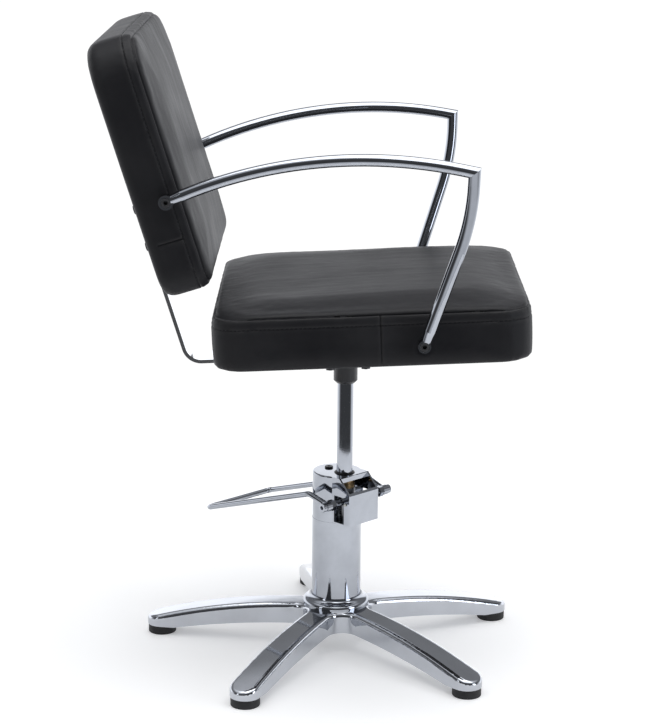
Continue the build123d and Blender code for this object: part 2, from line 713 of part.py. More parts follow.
def meet(first, first_run, second, second_run):
    """Point where two straight runs of the bracket cross, in the side view."""
    cross = first_run[0] * second_run[1] - first_run[1] * second_run[0]
    gap = (second[0] - first[0], second[1] - first[1])
    along = (gap[0] * second_run[1] - gap[1] * second_run[0]) / cross
    return (first[0] + along * first_run[0], first[1] + along * first_run[1])


STRAP_SEAT_LEVEL = PLATE_LOW - STRAP_T / 2
STRAP_BACK_LEVEL = -BACK_STANDOFF - STRAP_T / 2
STRAP_FRONT = 60.0
STRAP_TOP = -72.0
BACK_BOLTS = [(x, y) for x in (-18, 18) for y in (-150, -92)]
strap_front = side_view(SEAT.from_local_coords((0, STRAP_FRONT, STRAP_SEAT_LEVEL)))
strap_top = side_view(BACK.from_local_coords((0, STRAP_TOP, STRAP_BACK_LEVEL)))
strap_corner = meet(strap_front, (cos(tilt), -sin(tilt)), strap_top, (sin(lean), cos(lean)))

with BuildPart() as back_strap:
    with BuildLine(MIDDLE):
        bend = FilletPolyline(strap_front, strap_corner, strap_top, radius=STRAP_BEND_R)
    with BuildSketch(Plane(bend @ 0, x_dir=(1, 0, 0), z_dir=bend % 0)):
        Rectangle(STRAP_W, STRAP_T)
    sweep()
    with BuildSketch(SEAT.offset(PLATE_LOW - STRAP_T - 1)):
        with Locations(*STRAP_BOLTS):
            Circle(M8_R)
    extrude(amount=STRAP_T + 2, mode=Mode.SUBTRACT)
    with BuildSketch(BACK.offset(-BACK_STANDOFF - STRAP_T - 1)):
        with Locations(*BACK_BOLTS):
            Circle(M8_R)
    extrude(amount=STRAP_T + 2, mode=Mode.SUBTRACT)
    strap_ends = back_strap.edges().filter_by(lambda e: abs(e.length - STRAP_T) < 0.01)
    fillet(strap_ends, 10)
finish(back_strap, "back_strap")

with BuildPart() as strap_bolts:
    with BuildSketch(SEAT.offset(PLATE_LOW - STRAP_T - HEX_H)):
        with Locations(*STRAP_BOLTS):
            RegularPolygon(HEX_ACROSS / 2, 6, major_radius=False)
    extrude(amount=HEX_H)
    with BuildSketch(SEAT.offset(PLATE_LOW - STRAP_T)):
        with Locations(*STRAP_BOLTS):
            Circle(M8_R)
    extrude(amount=STRAP_T + PLATE_T + 8)
finish(strap_bolts, "strap_bolts")

with BuildPart() as strap_nuts:
    with BuildSketch(SEAT.offset(-SEAT_STANDOFF)):
        with Locations(*STRAP_BOLTS):
            RegularPolygon(HEX_ACROSS / 2, 6, major_radius=False)
            Circle(M8_R, mode=Mode.SUBTRACT)
    extrude(amount=6.5)
finish(strap_nuts, "strap_nuts")

with BuildPart() as back_spacers:
    with BuildSketch(BACK.offset(-BACK_STANDOFF)):
        with Locations(*BACK_BOLTS):
            Circle(SPACER_R)
            Circle(M8_R, mode=Mode.SUBTRACT)
    extrude(amount=BACK_STANDOFF)
finish(back_spacers, "back_spacers")

PANEL_T = 4.0
BACK_BOARD_TOP = PANEL_T + BOARD_T
with BuildPart() as back_bolts:
    with BuildSketch(BACK.offset(-BACK_STANDOFF - STRAP_T)):
        with Locations(*BACK_BOLTS):
            Circle(M8_R)
    extrude(amount=BACK_STANDOFF + STRAP_T + BACK_BOARD_TOP + TNUT_FLANGE_T)
    with BuildSketch(BACK.offset(-BACK_STANDOFF - STRAP_T - BUTTON_HEAD_H)):
        with Locations(*BACK_BOLTS):
            Circle(BUTTON_HEAD_R)
    extrude(amount=BUTTON_HEAD_H)
    fillet(back_bolts.edges().filter_by(GeomType.CIRCLE).filter_by(lambda e: e.radius > 6), 1.5)
    with BuildSketch(BACK.offset(-BACK_STANDOFF - STRAP_T - BUTTON_HEAD_H)):
        with Locations(*BACK_BOLTS):
            RegularPolygon(2.5, 6, major_radius=False)
    extrude(amount=3, mode=Mode.SUBTRACT)
finish(back_bolts, "back_bolts")

with BuildPart() as back_tnuts:
    with BuildSketch(BACK.offset(PANEL_T)):
        with Locations(*BACK_BOLTS):
            Circle(TNUT_R)
    extrude(amount=BOARD_T)
    with BuildSketch(BACK.offset(BACK_BOARD_TOP)):
        with Locations(*BACK_BOLTS):
            Circle(TNUT_FLANGE_R)
    extrude(amount=TNUT_FLANGE_T)
    with BuildSketch(BACK):
        with Locations(*BACK_BOLTS):
            Circle(M8_R)
    extrude(amount=THROUGH, mode=Mode.SUBTRACT)
finish(back_tnuts, "back_tnuts")

# ---------------------------------------------------------------- armrests


def arm_corner(side):
    """Point where an armrest's top rail meets its front post."""
    return Vector(SEAT_X + side * ARM_CORNER_HALF, ARM_CORNER_Y, ARM_CORNER_Z)


def rail_plane(side):
    """Vertical plane of a top rail: X runs back from the corner, Y is up."""
    run = Vector(-side * RAIL_SPLAY, 1, 0).normalized()
    return Plane(origin=arm_corner(side), x_dir=run, z_dir=(run.Y, -run.X, 0))


def post_plane(side):
    """Leaning plane of a front post: X runs back, Y is up along the post."""
    rise = Vector(side * POST_SPLAY, 0, 1).normalized()
    return Plane(origin=arm_corner(side), x_dir=(0, 1, 0), z_dir=(rise.Z, 0, -rise.X))


rail_stretch = hypot(1, RAIL_SPLAY)
post_stretch = hypot(1, POST_SPLAY)


def heading(angle):
    """Unit direction at an angle in degrees, as two numbers."""
    return (cos(radians(angle)), sin(radians(angle)))


def limb_path(plane, end, start_angle, end_angle, bend):
    """Route of one limb: straight, one long bend, then straight to its fixing."""
    knee = meet((0, 0), heading(start_angle), end, heading(end_angle))
    with BuildLine(plane, mode=Mode.PRIVATE) as line:
        FilletPolyline((0, 0), knee, end, radius=bend)
    return line.wire()


def rail_path(side):
    end = (RAIL_END[0] * rail_stretch, RAIL_END[1])
    return limb_path(rail_plane(side), end, RAIL_START_DEG, RAIL_END_DEG, RAIL_BEND_R)


def post_path(side):
    end = (POST_END[0], POST_END[1] * post_stretch)
    return limb_path(post_plane(side), end, POST_START_DEG, POST_END_DEG, POST_BEND_R)


def tapered_limb(path, mitre):
    """One limb: a round bar from past the mitre, narrowing towards its fixing."""
    taper_start = 1 - ARM_TAPER / path.length
    with BuildPart() as limb:
        with BuildSketch(Plane(path @ 0, z_dir=path % 0)):
            Circle(ARM_TUBE_R)
        extrude(amount=-1.6 * ARM_TUBE_R)
        with BuildSketch(Plane(path @ 0, z_dir=path % 0)):
            Circle(ARM_TUBE_R)
        sweep(path=path.trim(0, taper_start))
        with Locations(Plane(path @ 1, z_dir=path % 1)):
            Cone(
                ARM_TUBE_R - ARM_SHOULDER,
                ARM_END_R,
                ARM_TAPER + 1,
                align=(Align.CENTER, Align.CENTER, Align.MAX),
            )
        split(bisect_by=mitre, keep=Keep.TOP)
    return limb.part


def across(point, start):
    """Plane across the chair through a point, starting at a given X."""
    return Plane(origin=(start, point.Y, point.Z), x_dir=(0, 1, 0), z_dir=(1, 0, 0))


def arm_fixings(side):
    """The two fixing points of an armrest with their boss radii."""
    return ((rail_path(side) @ 1, REAR_BOSS_R), (post_path(side) @ 1, SEAT_BOSS_R))


BOSS_OUT = 7.0
RECESS_R = 7.0
RECESS_DEPTH = 4.5
washer_face = SIDE_X + WASHER_T
RIGHT = -1
rail_line = rail_path(RIGHT)
post_line = post_path(RIGHT)
away = (rail_line % 0) - (post_line % 0)
rail_limb = tapered_limb(rail_line, Plane(arm_corner(RIGHT), z_dir=away))
post_limb = tapered_limb(post_line, Plane(arm_corner(RIGHT), z_dir=-away))
with BuildPart() as arm_right:
    add(rail_limb)
    add(post_limb)
    for point, radius in arm_fixings(RIGHT):
        outer_x = point.X + RIGHT * BOSS_OUT
        with BuildSketch(across(point, SEAT_X + RIGHT * washer_face)):
            Circle(radius)
        extrude(amount=outer_x - SEAT_X - RIGHT * washer_face)
    for point, radius in arm_fixings(RIGHT):
        outer_x = point.X + RIGHT * BOSS_OUT
        with BuildSketch(across(point, outer_x - RIGHT * RECESS_DEPTH)):
            Circle(RECESS_R)
        extrude(amount=RIGHT * (RECESS_DEPTH + 12), mode=Mode.SUBTRACT)
        with BuildSketch(across(point, SEAT_X + RIGHT * SIDE_X)):
            Circle(M8_R)
        extrude(amount=RIGHT * 30, mode=Mode.SUBTRACT)
finish(arm_right, "arm_right")

with BuildPart() as arm_left:
    mirror(arm_right.part, about=MIDDLE)
finish(arm_left, "arm_left")

arm_points = [(side, point) for side in (-1, 1) for point, radius in arm_fixings(side)]
RAIL_OUTER = 217.0
INSERT_R = 6.0
INSERT_LENGTH = 22.0
with BuildPart() as arm_bolts:
    for side, point in arm_points:
        seat_at = point.X + side * (BOSS_OUT - RECESS_DEPTH)
        inner_at = SEAT_X + side * (RAIL_OUTER - INSERT_LENGTH + 2)
        with BuildSketch(across(point, inner_at)):
            Circle(M8_R)
        extrude(amount=seat_at - inner_at)
        with BuildSketch(across(point, seat_at)):
            Circle(M8_HEAD_R)
            RegularPolygon(M8_SOCKET_R, 6, major_radius=False, mode=Mode.SUBTRACT)
        extrude(amount=side * M8_HEAD_H)
finish(arm_bolts, "arm_bolts")

with BuildPart() as arm_washers:
    for side, point in arm_points:
        with BuildSketch(across(point, SEAT_X + side * SIDE_X)):
            Circle(SPACER_R)
            Circle(M8_R, mode=Mode.SUBTRACT)
        extrude(amount=side * WASHER_T)
finish(arm_washers, "arm_washers")

with BuildPart() as arm_inserts:
    for side, point in arm_points:
        with BuildSketch(across(point, SEAT_X + side * (RAIL_OUTER - INSERT_LENGTH))):
            Circle(INSERT_R)
            Circle(M8_R, mode=Mode.SUBTRACT)
        extrude(amount=side * INSERT_LENGTH)
finish(arm_inserts, "arm_inserts")

# ---------------------------------------------------------------- seat cushion and its boards

SEAT_BOARD_X = 430.0
SEAT_BOARD_Y = 416.0
with BuildPart() as seat_cover:
    with BuildSketch(SEAT):
        RectangleRounded(SEAT_BOARD_X, SEAT_BOARD_Y, 40)
        with Locations(*SEAT_BOLTS):
            Circle(M8_R, mode=Mode.SUBTRACT)
    extrude(amount=COVER_T)
finish(seat_cover, "seat_cover")

with BuildPart() as seat_board:
    with BuildSketch(SEAT.offset(COVER_T)):
        RectangleRounded(SEAT_BOARD_X, SEAT_BOARD_Y, 40)
        with Locations(*SEAT_BOLTS):
            Circle(TNUT_R, mode=Mode.SUBTRACT)
    extrude(amount=BOARD_T)
finish(seat_board, "seat_board")


def timber_rail(plane, side, low, high, depth):
    """Timber rail behind one side of a cushion, bored for its armrest inserts."""
    centre_x = side * (RAIL_OUTER - RAIL_W / 2)
    with BuildPart() as rail:
        with BuildSketch(plane):
            with Locations((centre_x, (low + high) / 2)):
                Rectangle(RAIL_W, high - low)
        extrude(amount=depth)
        for fixing_side, point in arm_points:
            if fixing_side == side:
                with BuildSketch(across(point, SEAT_X + side * (RAIL_OUTER - INSERT_LENGTH))):
                    Circle(INSERT_R)
                extrude(amount=side * (INSERT_LENGTH + 1), mode=Mode.SUBTRACT)
    return rail


SEAT_RAIL_PLANE = SEAT.offset(COVER_T + BOARD_T)
BACK_RAIL_PLANE = BACK.offset(BACK_BOARD_TOP)
seat_rail_right = timber_rail(SEAT_RAIL_PLANE, -1, -150, 150, SEAT_RAIL_H)
seat_rail_left = timber_rail(SEAT_RAIL_PLANE, 1, -150, 150, SEAT_RAIL_H)
back_rail_right = timber_rail(BACK_RAIL_PLANE, -1, -150, 60, BACK_RAIL_D)
back_rail_left = timber_rail(BACK_RAIL_PLANE, 1, -150, 60, BACK_RAIL_D)
finish(seat_rail_right, "seat_rail_right")
finish(seat_rail_left, "seat_rail_left")
finish(back_rail_right, "back_rail_right")
finish(back_rail_left, "back_rail_left")

with BuildPart() as seat_cushion:
    with BuildSketch(SEAT):
        RectangleRounded(SEAT_WIDTH, SEAT_DEPTH, SEAT_CORNER_R)
    extrude(amount=SEAT_THICK)
    fillet(facing(seat_cushion, SEAT.z_dir).edges(), SEAT_TOP_ROUND)
    fillet(facing(seat_cushion, -SEAT.z_dir).edges(), SEAT_BOTTOM_ROUND)
    timbers = (seat_cover, seat_board, seat_rail_right, seat_rail_left)
    for inside in (*timbers, seat_tnuts, seat_bolts, arm_inserts):
        add(inside.part, mode=Mode.SUBTRACT)
    for side, point in arm_points:
        with BuildSketch(across(point, SEAT_X + side * (RAIL_OUTER - INSERT_LENGTH - 1))):
            Circle(M8_R)
        extrude(amount=side * 60, mode=Mode.SUBTRACT)
finish(seat_cushion, "seat_cushion")

# ---------------------------------------------------------------- back cushion and its boards

PANEL_INSET = 35.0
BACK_BOARD_INSET = 18.0
BOARD_MIN_R = 10.0


def back_outline(level, inset, hole_r=0.0):
    """The back's outline drawn in by an inset: small lower corners and round upper ones."""
    with BuildSketch(BACK.offset(level)) as outline:
        with Locations((0, BACK_MIDDLE)):
            Rectangle(SEAT_WIDTH - 2 * inset, BACK_HEIGHT - 2 * inset)
        fillet(outline.vertices().sort_by(Axis.Y)[:2], max(BOARD_MIN_R, BACK_LOWER_R - inset))
        fillet(outline.vertices().sort_by(Axis.Y)[-2:], BACK_UPPER_R - inset)
        if hole_r:
            with Locations(*BACK_BOLTS):
                Circle(hole_r, mode=Mode.SUBTRACT)
    return outline.sketch


with BuildPart() as back_panel:
    extrude(back_outline(0, PANEL_INSET, M8_R), amount=PANEL_T)
finish(back_panel, "back_panel")

with BuildPart() as back_board:
    extrude(back_outline(PANEL_T, BACK_BOARD_INSET, TNUT_R), amount=BOARD_T)
finish(back_board, "back_board")

with BuildPart() as back_cushion:
    extrude(back_outline(0, 0), amount=BACK_THICK)
    fillet(facing(back_cushion, BACK.z_dir).edges(), BACK_FRONT_ROUND)
    fillet(facing(back_cushion, -BACK.z_dir).edges(), BACK_REAR_ROUND)
    timbers = (back_panel, back_board, back_rail_right, back_rail_left)
    for inside in (*timbers, back_tnuts, back_bolts, arm_inserts):
        add(inside.part, mode=Mode.SUBTRACT)
    for side, point in arm_points:
        with BuildSketch(across(point, SEAT_X + side * (RAIL_OUTER - INSERT_LENGTH - 1))):
            Circle(M8_R)
        extrude(amount=side * 60, mode=Mode.SUBTRACT)
finish(back_cushion, "back_cushion")
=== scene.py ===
import json
from math import ceil, cos, exp, hypot, pi, radians, sin

import bmesh
import bpy
from mathutils import Matrix, Vector, noise
from mathutils.bvhtree import BVHTree


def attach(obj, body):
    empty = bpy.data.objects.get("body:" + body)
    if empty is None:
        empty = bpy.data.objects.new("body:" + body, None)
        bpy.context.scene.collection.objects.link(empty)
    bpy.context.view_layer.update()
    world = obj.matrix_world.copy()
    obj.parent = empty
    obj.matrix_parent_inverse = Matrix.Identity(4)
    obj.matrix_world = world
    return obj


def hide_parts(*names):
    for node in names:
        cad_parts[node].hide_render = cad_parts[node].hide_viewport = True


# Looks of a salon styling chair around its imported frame. Metres. +Z is up and the sitter faces -Y.

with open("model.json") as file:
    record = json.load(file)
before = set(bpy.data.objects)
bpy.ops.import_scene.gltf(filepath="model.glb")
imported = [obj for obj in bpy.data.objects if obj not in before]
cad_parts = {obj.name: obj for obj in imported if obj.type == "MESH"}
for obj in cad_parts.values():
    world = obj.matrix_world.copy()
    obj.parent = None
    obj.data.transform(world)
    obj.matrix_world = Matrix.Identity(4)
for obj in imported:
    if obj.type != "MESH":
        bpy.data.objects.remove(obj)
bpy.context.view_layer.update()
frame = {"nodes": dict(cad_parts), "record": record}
nodes = frame["nodes"]
scene = bpy.context.scene

# ---------------------------------------------------------------- driving values

SEAT_TILT = radians(2.8)
BACK_LEAN = radians(17.56)

CAMERA_AT = Vector((-3.2110, 0.0058, 1.2603))
CAMERA_AZIMUTH = radians(-89.852)
CAMERA_ELEVATION = radians(14.0752)
CAMERA_ROLL = radians(0.512)
CAMERA_LENS = 108.2

VOXEL = 0.005
PRESSURE = 4.0
SIM_FRAMES = 20
REMESH_PANEL = 0.002
OUTLINE_PITCH = 0.006
BEND_STEPS = 7
SEAM_REACH = 0.012
SEAM_WIDTH = 0.0016
SEAM_BAND = 0.02
JOIN_DEPTH = 0.0020
STUCK = 0.0004
EDGE_BLEND = 0.010
CLOUD_ROUGHNESS = 0.55
UP = Vector((0, 0, 1))
LONG = Vector((0, 1, 0))


# ---------------------------------------------------------------- node graph helper


class Graph:
    """A material's node graph around one Principled shader."""

    def __init__(self, name, **sockets):
        self.material = bpy.data.materials.new(name)
        self.material.use_nodes = True
        self.tree = self.material.node_tree
        self.shader = self.tree.nodes["Principled BSDF"]
        for socket, value in sockets.items():
            self.shader.inputs[socket.replace("_", " ")].default_value = value

    def add(self, kind, settings=(), **inputs):
        """Adds a node. Inputs that are sockets are linked, and the rest are set."""
        made = self.tree.nodes.new("ShaderNode" + kind)
        for attribute, value in dict(settings).items():
            setattr(made, attribute, value)
        for socket, value in inputs.items():
            target = made.inputs[socket.replace("_", " ")]
            if isinstance(value, bpy.types.NodeSocket):
                self.tree.links.new(value, target)
            else:
                target.default_value = value
        return made

    def place(self, scale=(1, 1, 1)):
        """The piece's own coordinates in metres, stretched by a scale."""
        where = self.add("TexCoord").outputs["Object"]
        return self.add("Mapping", Vector=where, Scale=scale).outputs["Vector"]

    def cloud(self, size, detail=3.0, stretch=(1, 1, 1)):
        """Noise from 0 to 1 whose blotches are about a size in metres."""
        made = self.add(
            "TexNoise", Vector=self.place(stretch), Scale=1 / size, Detail=detail, Roughness=CLOUD_ROUGHNESS
        )
        return made.outputs["Fac"]

    def between(self, value, low, high):
        """Stretches the middle of a noise over a range of numbers."""
        made = self.add("MapRange", Value=value, From_Min=0.3, From_Max=0.7, To_Min=low, To_Max=high)
        return made.outputs["Result"]

    def tint(self, value, low, high):
        """Colour between two colours by a noise."""
        ramp = self.add("ValToRGB", Fac=value)
        for element, place, colour in zip(ramp.color_ramp.elements, (0.35, 0.65), (low, high)):
            element.position = place
            element.color = (*colour, 1)
        return ramp.outputs["Color"]

    def drive(self, **sockets):
        """Links sockets of the shader to graph outputs."""
        for socket, value in sockets.items():
            self.tree.links.new(value, self.shader.inputs[socket.replace("_", " ")])

    def bump(self, *layers):
        """Layers of (height, strength, depth in metres) on the shader's normal."""
        normal = None
        for height, strength, depth in layers:
            made = self.add("Bump", Height=height, Strength=strength, Distance=depth)
            if normal is not None:
                self.tree.links.new(normal, made.inputs["Normal"])
            normal = made.outputs["Normal"]
        self.drive(Normal=normal)


# ---------------------------------------------------------------- materials


def vinyl():
    """Satin imitation leather: fine pebble grain, faint stretch streaks, rubbed edges."""
    g = Graph("black_vinyl_skin", Specular_IOR_Level=0.13)
    pebble = g.add(
        "TexVoronoi", {"feature": "DISTANCE_TO_EDGE"}, Vector=g.place(), Scale=760.0, Randomness=0.9
    ).outputs["Distance"]
    crease = g.add("TexVoronoi", {"feature": "SMOOTH_F1"}, Vector=g.place((1, 0.6, 1)), Scale=240.0)
    streak = g.cloud(0.012, 4.0, stretch=(1, 0.06, 0.06))
    blotch = g.cloud(0.11, 4.0)
    edge = g.add("NewGeometry").outputs["Pointiness"]
    rubbed = g.add("MapRange", Value=edge, From_Min=0.5, From_Max=0.56).outputs["Result"]
    plain = g.tint(blotch, (0.0130, 0.0130, 0.0150), (0.0200, 0.0200, 0.0220))
    worn = g.add("Mix", {"data_type": "RGBA"}, Factor=rubbed)
    g.tree.links.new(plain, worn.inputs[6])
    worn.inputs[7].default_value = (0.030, 0.030, 0.031, 1)
    uneven = g.add("Math", {"operation": "ADD"})
    g.tree.links.new(g.between(streak, -0.035, 0.035), uneven.inputs[0])
    g.tree.links.new(g.between(blotch, 0.44, 0.54), uneven.inputs[1])
    g.drive(Base_Color=worn.outputs[2], Roughness=uneven.outputs[0])
    g.bump((streak, 0.10, 0.0004), (crease.outputs["Distance"], 0.16, 0.0005), (pebble, 0.28, 0.00025))
    return g.material


def thread():
    """Twisted black sewing thread."""
    g = Graph("sewing_thread", Roughness=0.6, Specular_IOR_Level=0.3)
    twist = g.add("TexWave", {"bands_direction": "DIAGONAL"}, Vector=g.place(), Scale=900.0)
    g.drive(Base_Color=g.tint(twist.outputs["Fac"], (0.008, 0.008, 0.009), (0.020, 0.020, 0.023)))
    g.bump((twist.outputs["Fac"], 0.5, 0.0002))
    return g.material


def plated(name, colour, rough_low, rough_high, wave=0.0, smear=0.03):
    """Bright metal with faint handling marks, and a slow waviness where it was cast or buffed."""
    g = Graph(name, Metallic=1.0)
    marks = g.cloud(smear, 5.0)
    scratch = g.cloud(0.0012, 2.0, stretch=(1, 1, 0.04))
    soft = g.add("Math", {"operation": "ADD"})
    g.tree.links.new(g.between(marks, rough_low, rough_high), soft.inputs[0])
    g.tree.links.new(g.between(scratch, 0.0, 0.02), soft.inputs[1])
    darker = tuple(0.90 * part for part in colour)
    g.drive(Base_Color=g.tint(marks, darker, colour), Roughness=soft.outputs[0])
    layers = [(scratch, 0.02, 0.0001)]
    if wave:
        layers.append((g.cloud(0.035, 1.0), wave, 0.002))
    g.bump(*layers)
    return g.material


def turned(name, colour, rough):
    """Machined metal: fine concentric tool marks and a little dullness."""
    g = Graph(name, Metallic=1.0)
    rings = g.add("TexWave", {"bands_direction": "Z"}, Vector=g.place(), Scale=420.0, Distortion=1.2)
    blotch = g.cloud(0.012, 4.0)
    darker = tuple(0.7 * part for part in colour)
    g.drive(Base_Color=g.tint(blotch, darker, colour))
    g.drive(Roughness=g.between(blotch, rough - 0.06, rough + 0.08))
    g.bump((rings.outputs["Fac"], 0.25, 0.0001), (blotch, 0.2, 0.0002))
    return g.material


def black_metal(name, rough):
    """Black oxide or enamel over steel, with edges rubbed a little brighter."""
    g = Graph(name, Specular_IOR_Level=0.4)
    peel = g.cloud(0.0035, 2.0)
    edge = g.add("NewGeometry").outputs["Pointiness"]
    worn = g.add("MapRange", Value=edge, From_Min=0.52, From_Max=0.6, To_Min=0.3, To_Max=0.7)
    rubbed = worn.outputs["Result"]
    g.drive(Base_Color=g.tint(rubbed, (0.010, 0.010, 0.011), (0.05, 0.05, 0.053)))
    g.drive(Roughness=g.between(peel, rough - 0.05, rough + 0.08))
    g.bump((peel, 0.12, 0.0003))
    return g.material


def rubber(name, rough):
    """Moulded rubber or plastic with a fine stipple and dusty patches."""
    g = Graph(name, Specular_IOR_Level=0.35)
    stipple = g.cloud(0.0009, 2.0)
    dust = g.cloud(0.018, 4.0)
    g.drive(Base_Color=g.tint(dust, (0.010, 0.010, 0.011), (0.024, 0.024, 0.025)))
    g.drive(Roughness=g.between(dust, rough - 0.08, rough + 0.08))
    g.bump((stipple, 0.3, 0.0002))
    return g.material


def lining():
    """Non-woven dust cover: pressed fibres in a small dot pattern."""
    g = Graph("dust_cover", Roughness=0.95, Sheen_Weight=0.2)
    dots = g.add("TexVoronoi", Vector=g.place(), Scale=520.0, Randomness=0.15).outputs["Distance"]
    fibre = g.cloud(0.0016, 5.0, stretch=(1, 0.3, 1))
    g.drive(Base_Color=g.tint(fibre, (0.010, 0.010, 0.010), (0.034, 0.034, 0.035)))
    g.bump((dots, 0.5, 0.0003), (fibre, 0.4, 0.0003))
    return g.material


def timber():
    """Plywood and pine: long grain with darker late wood."""
    g = Graph("plywood", Roughness=0.62)
    grain = g.cloud(0.006, 6.0, stretch=(1, 0.05, 1))
    rings = g.add("TexWave", Vector=g.place((1, 0.15, 1)), Scale=30.0, Distortion=5.0, Detail=3.0)
    both = g.add("Math", {"operation": "MULTIPLY"})
    g.tree.links.new(grain, both.inputs[0])
    g.tree.links.new(rings.outputs["Fac"], both.inputs[1])
    g.drive(Base_Color=g.tint(both.outputs[0], (0.34, 0.21, 0.11), (0.62, 0.46, 0.28)))
    g.bump((grain, 0.3, 0.0004))
    return g.material


def stage_white():
    """Matt white studio floor."""
    g = Graph("studio_white", Roughness=0.9, Specular_IOR_Level=0.1, Emission_Strength=0.24)
    g.shader.inputs["Emission Color"].default_value = (1, 1, 1, 1)
    g.drive(Base_Color=g.tint(g.cloud(0.4, 2.0), (0.88, 0.88, 0.88), (0.90, 0.90, 0.90)))
    return g.material


SKIN = vinyl()
THREAD = thread()
POLISHED = plated("polished_aluminium_skin", (0.52, 0.54, 0.58), 0.03, 0.07, wave=0.08, smear=0.06)
FINISHES = {
    "polished_aluminium": POLISHED,
    "chrome": plated("chrome_skin", (0.40, 0.42, 0.46), 0.02, 0.06),
    "zinc_steel": turned("zinc_skin", (0.62, 0.62, 0.58), 0.32),
    "cast_steel": turned("machined_steel_skin", (0.36, 0.37, 0.39), 0.38),
    "bronze": turned("bronze_skin", (0.62, 0.43, 0.22), 0.30),
    "spring_steel": turned("spring_skin", (0.50, 0.50, 0.52), 0.25),
    "black_rubber": rubber("foot_rubber_skin", 0.62),
    "seal_rubber": rubber("seal_skin", 0.42),
    "black_plastic": rubber("washer_plastic_skin", 0.48),
    "black_screw": black_metal("black_oxide_skin", 0.30),
    "black_enamel": black_metal("enamel_skin", 0.34),
    "black_vinyl": SKIN,
    "lining_fabric": lining(),
    "timber": timber(),
}

# Painted highlight: the strap is chrome like the other chrome parts, but gets this much brighter copy of
# the chrome so its face renders as a blown-out highlight.
STRAP_PAINTED_HIGHLIGHT_SKIN = plated("strap_painted_highlight_chrome", (0.80, 0.81, 0.83), 0.03, 0.08)

for subpart in frame["record"]["subparts"]:
    skin = STRAP_PAINTED_HIGHLIGHT_SKIN if subpart["node"] == "back_strap" else FINISHES[subpart["material_slot"]]
    materials = nodes[subpart["node"]].data.materials
    if len(materials):
        materials[0] = skin
    else:
        materials.append(skin)

# ---------------------------------------------------------------- camera


def aim(azimuth, elevation, roll):
    """Rotation of a camera that looks back along an azimuth and elevation."""
    back = Vector(
        (sin(azimuth) * cos(elevation), -cos(azimuth) * cos(elevation), sin(elevation))
    )
    right = Vector((cos(azimuth), sin(azimuth), 0))
    up = back.cross(right)
    turned_right = right * cos(roll) + up * sin(roll)
    turned_up = up * cos(roll) - right * sin(roll)
    return Matrix((turned_right, turned_up, back)).transposed().to_4x4()


camera_data = bpy.data.cameras.new("camera")
camera_data.lens = CAMERA_LENS
camera_data.sensor_width = 36
camera = bpy.data.objects.new("camera", camera_data)
camera.matrix_world = Matrix.Translation(CAMERA_AT) @ aim(CAMERA_AZIMUTH, CAMERA_ELEVATION, CAMERA_ROLL)
scene.collection.objects.link(camera)
scene.camera = camera

# ---------------------------------------------------------------- studio

FLOOR_RADIUS = 1.1
SEEN_WHITE = 1.05
# (height of the direction from -1 at the nadir to 1 at the zenith, brightness)
NEAR_WALL = (
    (-1.0, 0.9), (-0.48, 0.9), (-0.32, 0.09), (0.02, 0.08), (0.62, 0.12), (0.78, 0.90), (1.0, 1.0)
)
FAR_WALL = (
    (-1.0, 0.60), (-0.10, 1.45), (0.05, 1.65), (0.28, 1.60), (0.38, 0.25), (0.68, 0.30), (0.85, 1.0)
)

def softbox(name, at, toward, width, height, power, colour=(1, 1, 1)):
    """A rectangular soft light aimed at a point."""
    data = bpy.data.lights.new(name, "AREA")
    data.shape = "RECTANGLE"
    data.size, data.size_y = width, height
    data.energy = power
    data.color = colour
    lamp = bpy.data.objects.new(name, data)
    heading = (Vector(toward) - Vector(at)).to_track_quat("-Z", "Y")
    lamp.matrix_world = Matrix.Translation(at) @ heading.to_matrix().to_4x4()
    lamp.visible_camera = False
    scene.collection.objects.link(lamp)


def studio_world():
    """White to the eye, and a graded grey room with dark flags for the reflections."""
    world = bpy.data.worlds.new("studio")
    world.use_nodes = True
    tree = world.node_tree
    tree.nodes.clear()

    def add(kind, **settings):
        made = tree.nodes.new("ShaderNode" + kind)
        for attribute, value in settings.items():
            setattr(made, attribute, value)
        return made

    direction = add("TexCoord").outputs["Generated"]
    split = add("SeparateXYZ")
    tree.links.new(direction, split.inputs[0])

    def span(socket, low, high):
        """Runs from 0 to 1 as one part of the direction goes from low to high."""
        made = add("MapRange")
        made.inputs["From Min"].default_value = low
        made.inputs["From Max"].default_value = high
        tree.links.new(split.outputs[socket], made.inputs["Value"])
        return made.outputs[0]

    def wall(stops):
        """Brightness of one side of the room from the ground up to the zenith."""
        made = add("ValToRGB")
        elements = made.color_ramp.elements
        while len(elements) < len(stops):
            elements.new(0.5)
        for element, (rise, level) in zip(elements, stops):
            element.position = (rise + 1) / 2
            element.color = (level * 0.97, level * 0.985, level * 1.02, 1)
        tree.links.new(height, made.inputs[0])
        return made.outputs["Color"]

    height = span("Z", -1, 1)
    blend = add("Mix", data_type="RGBA")
    tree.links.new(span("X", -0.25, 0.35), blend.inputs[0])
    tree.links.new(wall(NEAR_WALL), blend.inputs[6])
    tree.links.new(wall(FAR_WALL), blend.inputs[7])

    room = add("Background")
    tree.links.new(blend.outputs[2], room.inputs["Color"])
    seen = add("Background")
    seen.inputs["Color"].default_value = (1, 1, 1, 1)
    seen.inputs["Strength"].default_value = SEEN_WHITE
    choose = add("MixShader")
    tree.links.new(add("LightPath").outputs["Is Camera Ray"], choose.inputs[0])
    tree.links.new(room.outputs[0], choose.inputs[1])
    tree.links.new(seen.outputs[0], choose.inputs[2])
    output = add("OutputWorld")
    tree.links.new(choose.outputs[0], output.inputs["Surface"])
    scene.world = world


floor_mesh = bpy.data.meshes.new("studio_floor")
floor_shape = bmesh.new()
bmesh.ops.create_circle(floor_shape, cap_ends=True, segments=96, radius=FLOOR_RADIUS)
floor_shape.to_mesh(floor_mesh)
floor_shape.free()
floor = bpy.data.objects.new("studio_floor", floor_mesh)
floor_mesh.materials.append(stage_white())
scene.collection.objects.link(floor)

